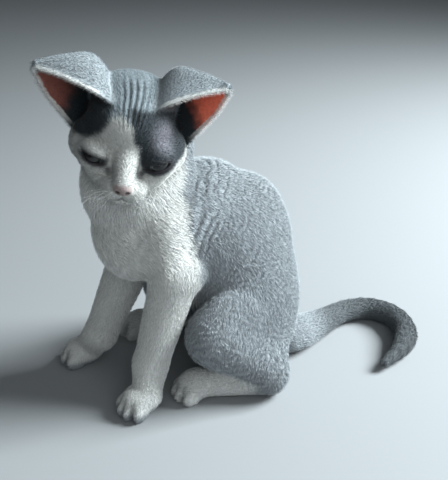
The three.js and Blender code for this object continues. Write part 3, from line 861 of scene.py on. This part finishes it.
def eyeball(s):
    """A ball whose front is raised by the cornea's rise times the cosine, to the 12th power, of
    the angle off its axis. The pupil, iris and rim lie one outside the other round the axis."""
    spokes = np.arange(EYE_SPOKES)
    turns = spokes / EYE_SPOKES * 2 * np.pi
    angle, turn = np.meshgrid(np.linspace(0, np.pi, EYE_RINGS), turns, indexing="ij")
    bulge = BALL_RADIUS + CORNEA_RISE * np.clip(np.cos(angle), 0, 1) ** 12
    ball = np.stack([np.sin(angle) * np.cos(turn), -np.cos(angle), np.sin(angle) * np.sin(turn)], -1)
    ball = (ball * bulge[..., None]).reshape(-1, 3) @ turned((-GAZE_UP, 0, s * GAZE_OUT)).T
    ring, spoke = np.meshgrid(np.arange(EYE_RINGS - 1), spokes, indexing="ij")
    a = (ring * EYE_SPOKES + spoke).ravel()
    b = (ring * EYE_SPOKES + (spoke + 1) % EYE_SPOKES).ravel()
    faces = np.column_stack([a, b, b + EYE_SPOKES, a + EYE_SPOKES])
    off = angle.ravel()
    colour = mixed(np.tile(COLOURS["pupil"], (len(off), 1)), COLOURS["iris"], smoothstep(off, 0.62, 0.68))
    colour = mixed(colour, COLOURS["eye_rim"], smoothstep(off, 0.95, 1.0))
    return from_head(ball + EYE * [s, 1, 1]), faces, colour


eye_gloss, wet = material_of("wet_eye", {"Roughness": 0.06, "Specular IOR Level": 0.6})
iris = eye_gloss.node_tree.nodes.new("ShaderNodeAttribute")
iris.attribute_name = "coat_colour"
eye_gloss.node_tree.links.new(iris.outputs["Color"], wet.inputs["Base Color"])
for side, s in SIDES.items():
    places, faces, colours = eyeball(s)
    eye = piece_of(f"eyeball_{side}", places, faces, colours=colours)
    eye.data.materials.append(eye_gloss)
    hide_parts(f"eye_{side}")

# Coat
# The fur is short and soft, with fine waves across it that stand up as ridges over the shoulders.
# Each tuft is a thin bent spike rooted in the skin, and it lies over the next one down the body.
MOST_TRIANGLES = 190000  # in one piece of the coat
LONG_TUFT = (0, 0.35, 0.7, 1)  # places of a tuft's rings along it, the last its tip
SHORT_TUFT = (0, 0.5, 1)
LONG_HAIRED = ("trunk", "neck", "thigh", "tail", "foreleg")
TUFT_PATCH = 0.003  # a tuft's size on the unwrap
CHART_MARGIN = 0.005  # what is left free at the edges of the unwrap
ROOT_DEPTH = 0.25  # how deep in the skin a tuft starts
SWING = 0.18  # radians that a tuft turns aside by chance
WAVE_SWING = 0.3  # radians that the waves turn it
WAVE_LIFT, WAVE_BEND = 0.5, 0.35  # how far they lift it and bend it aside
WAVE_LIGHT = 0.28  # how much lighter the crest of a wave is, as painted light
TIP_LIGHT = 1.12  # how light a tuft's tip is, against the coat's colour there: partly its own pale tip, partly painted light
ROOT_LIGHT_SHORT, ROOT_LIGHT_LONG = 0.84, 0.66  # and its root, darkened as painted shade deep in the coat, for short hair and for long
AXIS_X, AXIS_Z = np.eye(3)[[0, 2]]
COAT = {  # a tuft's length, width and height, tufts on a square mm, wave length and its strength
    "trunk": (4.6, 0.53, 1.5, 0.96, 4.4, 1.0),
    "neck": (4.8, 0.53, 1.6, 0.92, 6.0, 0.35),
    "head": (2.5, 0.34, 0.7, 1.7, 3.0, 0.15),
    "foreleg": (3.6, 0.46, 1.1, 1.05, 5.0, 0.35),
    "forepaw": (2.2, 0.36, 0.6, 1.3, 3.0, 0.1),
    "thigh": (4.3, 0.49, 1.4, 0.98, 4.2, 1.0),
    "hind": (2.4, 0.38, 0.7, 1.3, 3.0, 0.1),
    "tail": (3.8, 0.48, 1.1, 0.95, 5.0, 0.3),
}
EAR_BACK_COAT = (2.3, 0.32, 0.65, 1.8, 3, 0.1)
EAR_CUP_COAT = (2.6, 0.22, 1.0, 0.35, 3, 0.1)
EAR_RIM_COAT = (2.6, 0.24, 0.7, 2.4, 3, 0.2)
RIDGE_WIDENING = 2.4  # how much longer the waves are where they stand as ridges over the shoulders
LINES = {  # the line that the hair follows down each part, and the way that is up from it
    "trunk": (evenly([[3, -52, 104], [2, -30, 102], [1, -4, 88], [1, 17, 60], [2, 26, 30]], 40), AXIS_X),
    "neck": (evenly([[4, -38, 176], [4, -50, 146], [6, -56, 116]], 20), AXIS_X),
    "head": (evenly(from_head([[0, -44, -12], [0, -6, 4], [0, 32, 12]]), 20), HEAD_AXES[:, 2]),
    "tail": (tail_line, AXIS_Z),
}
for side in SIDES:
    fore, hind = FORELEGS[side], HINDLEGS[side]
    LINES[f"foreleg_{side}"] = (evenly([fore["elbow"], fore["wrist"]], 20), AXIS_X)
    LINES[f"forepaw_{side}"] = (evenly([fore["wrist"], fore["paw"]], 8), AXIS_X)
    LINES[f"thigh_{side}"] = (evenly([hind["hip"], hind["hock"]], 20), AXIS_X)
    LINES[f"hind_foot_{side}"] = (evenly([hind["hock"], hind["paw"]], 20), AXIS_Z)


def down_line(line, up, places):
    """For each place the line's way at its nearest point, how far along that is, and the angle of
    the place round the line, from the up way."""
    which = nearest(places, line)
    ways = unit(np.gradient(line, axis=0))[which]
    off = places - line[which]
    along = (off * ways).sum(1)
    run = which * np.linalg.norm(line[1] - line[0]) + along
    across = unit(np.cross(ways, up))
    angle = np.arctan2((off * across).sum(1), (off * np.cross(across, ways)).sum(1))
    return ways, run, angle


def lie_of_part(part, places):
    """The way that the hair points on one part, before it is laid flat on the skin."""
    if part == "head":
        return unit(places - from_head([0, -42, -9])) + [0, 0, -0.15]
    if part == "neck":
        back = smoothstep(places[:, 1], -58, -34)
        return np.column_stack([np.zeros(len(places)), 0.9 * back, -np.ones(len(places))])
    ways = down_line(*LINES[part], places)[0]
    return ways + [0, 0, -0.45] if part == "trunk" else ways


# The skin's triangles, and which part each is on: its habit is the mean of the near parts' coats.
skin.data.calc_loop_triangles()
thirds = np.empty(len(skin.data.loop_triangles) * 3, np.int32)
skin.data.loop_triangles.foreach_get("vertices", thirds)
thirds = thirds.reshape(-1, 3)
skin_normals = np.empty(len(skin_places) * 3, np.float32)
skin.data.vertices.foreach_get("normal", skin_normals)
skin_normals = skin_normals.reshape(-1, 3).astype(float)
middles = skin_places[thirds].mean(1)
edges = skin_places[thirds[:, 1:]] - skin_places[thirds[:, :1]]
areas = np.linalg.norm(np.cross(edges[:, 0], edges[:, 1]), axis=1) / 2
shares = part_fields(middles)
shares = np.exp(-(shares - shares.min(0)) / 2.5)
shares /= shares.sum(0)
habit = shares.T @ np.array([COAT[kind(part)] for part in PARTS])
on_part = np.array(list(PARTS))[shares.argmax(0)]

# The ears are thinly haired within, and fringed at the rim.
middles_in_head = to_head(middles)
ear_gap = ears(middles)
of_ear = (ear_gap < 0.5) & (ear_reading(middles, "height") > 0.05)
at_rim = of_ear & (ear_reading(middles, "rim") < 1.4)
habit[of_ear] = EAR_BACK_COAT
habit[of_ear & (ear_reading(middles, "cup") > 0) & ~at_rim] = EAR_CUP_COAT
habit[at_rim] = EAR_RIM_COAT
on_part = np.where(of_ear, np.where(middles_in_head[:, 0] > 0, "ear_left", "ear_right"), on_part)

# The roots are spread by area over all but the nose, the hollows and what lies on the floor.
bare = (nose_leather(middles_in_head) < 0.5) | (hollows(middles_in_head) < 0.35)
bare |= middles[:, 2] < 0.9
running = np.cumsum(areas * habit[:, 3] * ~bare)
count = int(running[-1])
root_face = np.searchsorted(running, (np.arange(count) + dice.random(count)) / count * running[-1])
root_face = np.minimum(root_face, len(thirds) - 1)
corner = dice.random((count, 2))
corner = np.where(corner.sum(1, keepdims=True) > 1, 1 - corner, corner)
corner = np.column_stack([1 - corner.sum(1), corner])[..., None]
roots = (skin_places[thirds[root_face]] * corner).sum(1)
root_normals = unit((skin_normals[thirds[root_face]] * corner).sum(1))
root_part = on_part[root_face]
root_habit = habit[root_face]
root_shares = shares[:, root_face]

# The lie is the mean of the near parts' own, and on the ears it runs up to the tip and out past
# the rim.
lie = np.zeros((count, 3))
for number, part in enumerate(PARTS):
    near = np.flatnonzero(root_shares[number] > 0.02)
    lie[near] += unit(lie_of_part(part, roots[near])) * root_shares[number, near, None]
for sheet in EARS:
    near = np.flatnonzero(root_part == ("ear_left" if sheet["side"] > 0 else "ear_right"))
    which = on_ear(sheet, roots[near])
    column = which % EAR_COLUMNS
    outward = sheet["around"][which] * np.sign(column - (EAR_COLUMNS - 1) / 2)[:, None]
    rim_share = 1 - smoothstep(sheet["rim"][which], 0.8, 3)
    lie[near] = sheet["up"][which] + outward * (0.15 + 1.3 * rim_share)[:, None]
lie -= root_normals * (lie * root_normals).sum(1, keepdims=True)
lie = unit(lie)


def waves_over(places, part, lie, habit):
    """The coat's waves at each root: their phase, which is the run down the part over the wave
    length with some wander, how fast it changes along the hair, in radians a millimetre, and the
    waves' strength, which is greatest in the ridges over the shoulders."""
    phase, rate = np.zeros((2, len(places)))
    strength = habit[:, 5].copy()
    for name, (line, up) in LINES.items():
        near = np.flatnonzero(part == name)
        if len(near):
            ways, run, _ = down_line(line, up, places[near])
            drift = 1.3 * wander(places[near], 30) + 0.75 * wander(places[near], 11)
            strength[near] *= 1 + 0.6 * wander(places[near][:, ::-1], 9)
            length = habit[near, 4]
            if name == "trunk":
                ridged = 1 - smoothstep(run, 26, 44)
                drift *= 1 - 0.65 * ridged
                length = length + RIDGE_WIDENING * ridged
                strength[near] *= 1 + 0.7 * ridged
            phase[near] = (run / length + drift) * 2 * np.pi
            rate[near] = (ways * lie[near]).sum(1) / length * 2 * np.pi
    return phase, rate, strength


root_colour = markings(roots)
root_habit[:, 5] *= 1 - 0.85 * smoothstep(root_colour[:, 0], 0.4, 0.7)  # the white coat is smoother
root_phase, root_rate, root_habit[:, 5] = waves_over(roots, root_part, lie, root_habit)
swing = WAVE_SWING * np.cos(root_phase) * root_habit[:, 5] + SWING * dice.normal(size=count)
lie = lie * np.cos(swing)[:, None] + np.cross(root_normals, lie) * np.sin(swing)[:, None]


def tufts(picked, stations):
    """Thin bent spikes: places, faces, colours and a chart of one tuft. Each line leaves its root
    along the lie, climbs as 1.5t - 0.5t squared to the tuft's height, lifts with the sine of the
    wave at each place and bends aside with its cosine. Each ring is a flat triangle, and the tip a
    point."""
    n, rings = len(picked), len(stations) - 1
    way, normal = lie[picked], root_normals[picked]
    length, width, height = root_habit[picked, :3].T
    length = length * dice.uniform(0.75, 1.2, n)
    t = np.array(stations)
    strength = root_habit[picked, 5:]
    phase = root_phase[picked, None] + (root_rate[picked] * length)[:, None] * t
    wave = np.sin(phase) * strength
    height = height * dice.uniform(0.7, 1.2, n)
    side = np.cross(normal, way)
    climb = height[:, None] * (1.5 * t - 0.5 * t**2) - ROOT_DEPTH * (1 - t)
    climb = climb + WAVE_LIFT * wave * np.minimum(1, 3 * t)
    bend = dice.normal(0, 0.16, (n, 1)) * t
    bend = bend + 0.22 * np.sin(dice.uniform(0, TURN, (n, 1)) + 4.5 * t) * t
    bend = bend + WAVE_BEND * np.cos(phase) * strength * t
    line = (
        roots[picked][:, None]
        + way[:, None] * (length[:, None] * t)[..., None]
        + normal[:, None] * climb[..., None]
        + side[:, None] * bend[..., None]
    )
    taper = width[:, None] * (1 - t[:-1] ** 1.6) * dice.uniform(0.8, 1.15, (n, 1))
    spoke = np.radians([90, 210, 330])
    ring = side[:, None] * np.cos(spoke)[:, None] + normal[:, None] * np.sin(spoke)[:, None] * 0.5
    rows = line[:, :-1, None] + ring[:, None] * (taper / 2)[..., None, None]
    places = np.concatenate([rows.reshape(n, -1, 3), line[:, -1:]], 1)
    places[..., 2] = np.maximum(places[..., 2], 0.15)
    tip = 3 * rings
    faces = [(2, 1, 0)]
    for a in range(rings - 1):
        for i in range(3):
            low, beside = 3 * a + i, 3 * a + (i + 1) % 3
            faces += [(low, beside, beside + 3), (low, beside + 3, low + 3)]
    faces += [(tip - 3 + i, tip - 3 + (i + 1) % 3, tip) for i in range(3)]
    faces = np.array(faces) + (np.arange(n) * (tip + 1))[:, None, None]
    # Painted shade darkens each tuft towards its root. Its tip is lighter, partly as painted light, and
    # painted light brightens the crests of the waves.
    long_haired = smoothstep(length, 2.2, 3.8)[:, None]
    root_light = ROOT_LIGHT_SHORT + (ROOT_LIGHT_LONG - ROOT_LIGHT_SHORT) * long_haired
    light = root_light + (TIP_LIGHT - root_light) * t
    light = light * dice.uniform(0.88, 1.12, (n, 1)) * (1 + WAVE_LIGHT * wave)
    light = np.concatenate([light[:, :-1].repeat(3, 1), light[:, -1:]], 1)
    colours = np.clip(root_colour[picked][:, None] * light[..., None], 0, 0.95)
    at = np.concatenate([t[:-1].repeat(3), t[-1:]])
    round_it = np.concatenate([np.tile((-1, 0, 1), rings), [0]])
    chart = np.column_stack([round_it, at * 2 - 1]) * TUFT_PATCH / 2
    return places.reshape(-1, 3), faces.reshape(-1, 3), colours.reshape(-1, 3), chart


def unwrap(part, places):
    """A place on the skin's unwrap: the angle round the part's line, and how far along it."""
    if part.startswith("ear"):
        s = SIDES[part.split("_")[1]]
        line = evenly(from_head([[s * 20, 6, 4], [s * 36, 2, 18], [s * 52, -2, 31]]), 12)
        _, run, angle = down_line(line, HEAD_AXES[:, 1], places)
    else:
        _, run, angle = down_line(*LINES[part], places)
    low, high = run.min(), run.max()
    chart = np.column_stack([angle / (2 * np.pi) + 0.5, (run - low) / max(high - low, 1e-6)])
    return np.clip(chart * (1 - 2 * CHART_MARGIN) + CHART_MARGIN, CHART_MARGIN, 1 - CHART_MARGIN)


fur = fur_material("soft_fur", 0.62, 0.15, 1500)
for part in sorted(set(on_part)):
    stations = LONG_TUFT if kind(part) in LONG_HAIRED else SHORT_TUFT
    each = 6 * (len(stations) - 2) + 4  # triangles in a tuft
    mine = np.flatnonzero(root_part == part)
    mine = mine[np.argsort(roots[mine, 2])]
    for number, picked in enumerate(np.array_split(mine, len(mine) * each // MOST_TRIANGLES + 1)):
        places, faces, colours, chart = tufts(picked, stations)
        locks = piece_of(f"coat_{part}_{number + 1}", places, faces, colours=colours)
        locks.data.materials.append(fur)
        spots = (unwrap(part, roots[picked])[:, None] + chart).reshape(-1, 2)
        bake = locks.data.uv_layers.new(name="OFBake")
        bake.data.foreach_set("uv", spots[faces.ravel()].astype(np.float32).ravel())

# Whiskers
# Short brittle hairs, crinkled as the breed's are, in rows on the whisker pads. Each is rooted
# in the skin and thins out to its tip.
WHISKER_WIDTH = 0.26
WHISKER_TAPER = 0.75  # the share of its width that a whisker loses by its tip
WHISKER_SINK = 0.2  # how far its tip sinks, against its length
WHISKER_CRINKLE = 0.5
WHISKER_STATIONS = 16
SHORTEST_WHISKER, LONGEST_WHISKER = 11, 18
PAD_ROWS = 3
PAD_COLUMNS = 4


def whiskers(places, ways, lengths):
    """Three-sided tubes. Each runs out along its way, sinks as t squared and crinkles as a sine."""
    n = len(places)
    t = np.linspace(0, 1, WHISKER_STATIONS)
    across = unit(np.cross(HEAD_AXES[:, 2], ways))
    above = np.cross(ways, across)
    starts = dice.uniform(0, TURN, (n, 2, 1))
    crinkle = WHISKER_CRINKLE * np.sin(starts + 10 * t) * np.minimum(1, 4 * t)
    sink = -WHISKER_SINK * lengths[:, None] * t**2 + crinkle[:, 0]
    line = places[:, None] + ways[:, None] * (lengths[:, None] * t)[..., None]
    line = line + above[:, None] * sink[..., None] + across[:, None] * crinkle[:, 1, :, None]
    spoke = np.radians([90, 210, 330])
    ring = across[:, None] * np.cos(spoke)[:, None] + above[:, None] * np.sin(spoke)[:, None]
    radius = WHISKER_WIDTH / 2 * (1 - WHISKER_TAPER * t)
    rows = line[:, :, None] + ring[:, None] * radius[None, :, None, None]
    low = np.arange(3 * (WHISKER_STATIONS - 1))
    beside = low // 3 * 3 + (low + 1) % 3
    first = (np.arange(n) * 3 * WHISKER_STATIONS)[:, None, None]
    walls = (np.column_stack([low, beside, beside + 3, low + 3])[None] + first).reshape(-1, 4)
    tip = 3 * WHISKER_STATIONS - 3
    ends = (np.array([[2, 1, 0], [tip, tip + 1, tip + 2]])[None] + first).reshape(-1, 3)
    return rows.reshape(-1, 3), walls, [ends]


row, column = (k.ravel() for k in np.meshgrid(range(PAD_ROWS), range(PAD_COLUMNS)))
whisker_roots, whisker_ways, whisker_lengths = [], [], []
for s in SIDES.values():
    on_pad = on_face(s * (4.6 + 1.8 * column + 0.4 * row), -16.6 - 2.1 * row - 0.3 * column)
    whisker_roots.append(from_head(on_pad + [0, 0.6, 0]))
    ways = np.column_stack([s * (0.6 + 0.12 * column), -0.5 + 0.08 * column, -0.1 - 0.14 * row])
    whisker_ways.append(unit(ways) @ HEAD_AXES.T)
    whisker_lengths.append(dice.uniform(SHORTEST_WHISKER, LONGEST_WHISKER, len(column)))
hairs = whiskers(*map(np.concatenate, (whisker_roots, whisker_ways, whisker_lengths)))
hairs = piece_of("whiskers", *hairs)
pale_hair, _ = material_of("pale_hair", {"Base Color": (*COLOURS["white"], 1), "Roughness": 0.4})
hairs.data.materials.append(pale_hair)

# Floor, light and camera
# A plain pale floor, a large soft window light high behind the kitten, a faint fill from its
# left, and the camera of the photograph, which looks down on it from its left and front.
FLOOR_HALF = 3  # metres, as all places of the lights are
bpy.context.scene.view_settings.view_transform = "Standard"
floor = bpy.data.objects.new("floor", bpy.data.meshes.new("floor"))
floor_corners = [(x * FLOOR_HALF, y * FLOOR_HALF, 0) for x, y in ((-1, -1), (1, -1), (1, 1), (-1, 1))]
floor.data.from_pydata(floor_corners, [], [(0, 1, 2, 3)])
bpy.context.collection.objects.link(floor)
pale, _ = material_of("pale_floor", {"Base Color": (0.30, 0.31, 0.32, 1), "Roughness": 0.9})
floor.data.materials.append(pale)


def area_light(name, place, aim, size, power, colour):
    """A square soft light at a place, in metres, that points at its aim."""
    data = bpy.data.lights.new(name, "AREA")
    data.size, data.energy, data.color = size, power, colour
    lamp = bpy.data.objects.new(name, data)
    way = np.subtract(aim, place)
    across = np.hypot(way[0], way[1])
    lamp.location = place
    lamp.rotation_euler = (np.arctan2(across, -way[2]), 0, np.arctan2(-way[0], way[1]))
    bpy.context.collection.objects.link(lamp)


area_light("window", (0.18, 0.97, 0.78), (0, -0.02, 0.12), 0.55, 52, (0.88, 0.97, 1.0))
area_light("fill", (0.8, 0.0, 0.5), (0, 0, 0.08), 0.9, 3.0, (0.92, 0.98, 1.0))
world = bpy.data.worlds.new("room")
world.use_nodes = True
set_inputs(world.node_tree.nodes["Background"], {"Color": (0.78, 0.87, 0.92, 1), "Strength": 0.13})
bpy.context.scene.world = world

CAMERA_AT = np.array([387, -135.5, 287])
CAMERA_PITCH = 64.43  # degrees up from straight down
CAMERA_AZIMUTH = 70
camera = bpy.data.objects.new("camera", bpy.data.cameras.new("camera"))
camera.data.lens = 52.5
camera.data.sensor_width = 36
camera.location = (CAMERA_AT + SHIFT) * MM
camera.rotation_euler = np.radians([CAMERA_PITCH, 0, CAMERA_AZIMUTH])
bpy.context.collection.objects.link(camera)
bpy.context.scene.camera = camera
